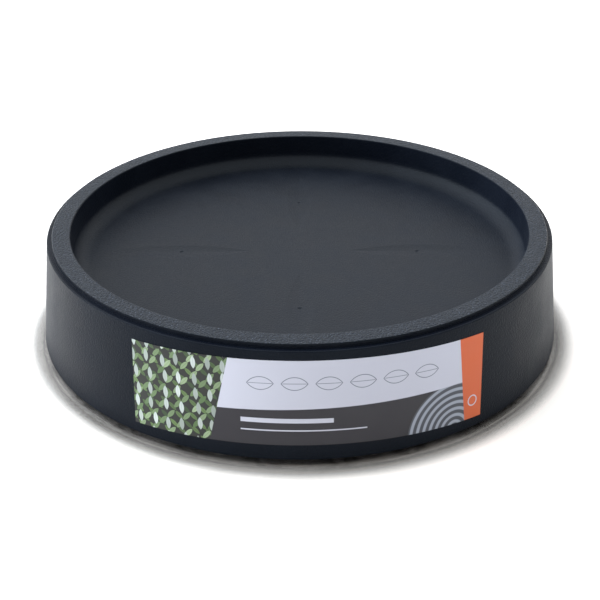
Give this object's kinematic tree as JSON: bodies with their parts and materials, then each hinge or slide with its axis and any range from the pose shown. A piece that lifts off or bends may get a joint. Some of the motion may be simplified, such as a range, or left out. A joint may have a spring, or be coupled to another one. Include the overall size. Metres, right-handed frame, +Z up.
{
  "type": "plant caddy",
  "caption": "Low round plant caddy: a plastic saucer deck with a deep flared skirt that hides swivel castors.",
  "frame": {"origin": "on the deck's axis, at the ground under the wheels", "axes": "+Z up through the saucer, -Y to the front, where the label is; castors trail to +Y at rest"},
  "size_m": [0.3898, 0.3898, 0.086],
  "materials": {
    "deck_plastic": "fine-grained anthracite polypropylene",
    "label_film": "printed film, satin",
    "stem_steel": "zinc-plated, turned",
    "spring_steel": "spring steel, oiled",
    "housing_nylon": "black nylon, fine spark grain",
    "axle_steel": "drawn steel",
    "wheel_nylon": "black nylon, tread polished by use"
  },
  "bodies": {
    "deck": {"deck_moulding": "deck_plastic", "skirt_label": "label_film", "rear_right_castor_stem": "stem_steel", "rear_right_castor_grip_ring": "spring_steel", "rear_left_castor_stem": "stem_steel", "rear_left_castor_grip_ring": "spring_steel", "front_left_castor_stem": "stem_steel", "front_left_castor_grip_ring": "spring_steel", "front_right_castor_stem": "stem_steel", "front_right_castor_grip_ring": "spring_steel"},
    "rear_right_castor": {"rear_right_castor_housing": "housing_nylon", "rear_right_castor_axle": "axle_steel"},
    "rear_right_right_wheel": {"rear_right_wheel_right": "wheel_nylon"},
    "rear_right_left_wheel": {"rear_right_wheel_left": "wheel_nylon"},
    "rear_left_castor": {"rear_left_castor_housing": "housing_nylon", "rear_left_castor_axle": "axle_steel"},
    "rear_left_right_wheel": {"rear_left_wheel_right": "wheel_nylon"},
    "rear_left_left_wheel": {"rear_left_wheel_left": "wheel_nylon"},
    "front_left_castor": {"front_left_castor_housing": "housing_nylon", "front_left_castor_axle": "axle_steel"},
    "front_left_right_wheel": {"front_left_wheel_right": "wheel_nylon"},
    "front_left_left_wheel": {"front_left_wheel_left": "wheel_nylon"},
    "front_right_castor": {"front_right_castor_housing": "housing_nylon", "front_right_castor_axle": "axle_steel"},
    "front_right_right_wheel": {"front_right_wheel_right": "wheel_nylon"},
    "front_right_left_wheel": {"front_right_wheel_left": "wheel_nylon"}
  },
  "joints": [
    {"name": "rear_right_swivel", "type": "hinge", "parent": "deck", "child": "rear_right_castor", "pos_m": [0.08309, 0.08309, 0.0411], "axis": [0, 0, 1], "continuous": true},
    {"name": "rear_right_right_wheel_spin", "type": "hinge", "parent": "rear_right_castor", "child": "rear_right_right_wheel", "pos_m": [0.08309, 0.09809, 0.0175], "axis": [1, 0, 0], "continuous": true},
    {"name": "rear_right_left_wheel_spin", "type": "hinge", "parent": "rear_right_castor", "child": "rear_right_left_wheel", "pos_m": [0.08309, 0.09809, 0.0175], "axis": [1, 0, 0], "continuous": true},
    {"name": "rear_left_swivel", "type": "hinge", "parent": "deck", "child": "rear_left_castor", "pos_m": [-0.08309, 0.08309, 0.0411], "axis": [0, 0, 1], "continuous": true},
    {"name": "rear_left_right_wheel_spin", "type": "hinge", "parent": "rear_left_castor", "child": "rear_left_right_wheel", "pos_m": [-0.08309, 0.09809, 0.0175], "axis": [1, 0, 0], "continuous": true},
    {"name": "rear_left_left_wheel_spin", "type": "hinge", "parent": "rear_left_castor", "child": "rear_left_left_wheel", "pos_m": [-0.08309, 0.09809, 0.0175], "axis": [1, 0, 0], "continuous": true},
    {"name": "front_left_swivel", "type": "hinge", "parent": "deck", "child": "front_left_castor", "pos_m": [-0.08309, -0.08309, 0.0411], "axis": [0, 0, 1], "continuous": true},
    {"name": "front_left_right_wheel_spin", "type": "hinge", "parent": "front_left_castor", "child": "front_left_right_wheel", "pos_m": [-0.08309, -0.06809, 0.0175], "axis": [1, 0, 0], "continuous": true},
    {"name": "front_left_left_wheel_spin", "type": "hinge", "parent": "front_left_castor", "child": "front_left_left_wheel", "pos_m": [-0.08309, -0.06809, 0.0175], "axis": [1, 0, 0], "continuous": true},
    {"name": "front_right_swivel", "type": "hinge", "parent": "deck", "child": "front_right_castor", "pos_m": [0.08309, -0.08309, 0.0411], "axis": [0, 0, 1], "continuous": true},
    {"name": "front_right_right_wheel_spin", "type": "hinge", "parent": "front_right_castor", "child": "front_right_right_wheel", "pos_m": [0.08309, -0.06809, 0.0175], "axis": [1, 0, 0], "continuous": true},
    {"name": "front_right_left_wheel_spin", "type": "hinge", "parent": "front_right_castor", "child": "front_right_left_wheel", "pos_m": [0.08309, -0.06809, 0.0175], "axis": [1, 0, 0], "continuous": true}
  ]
}
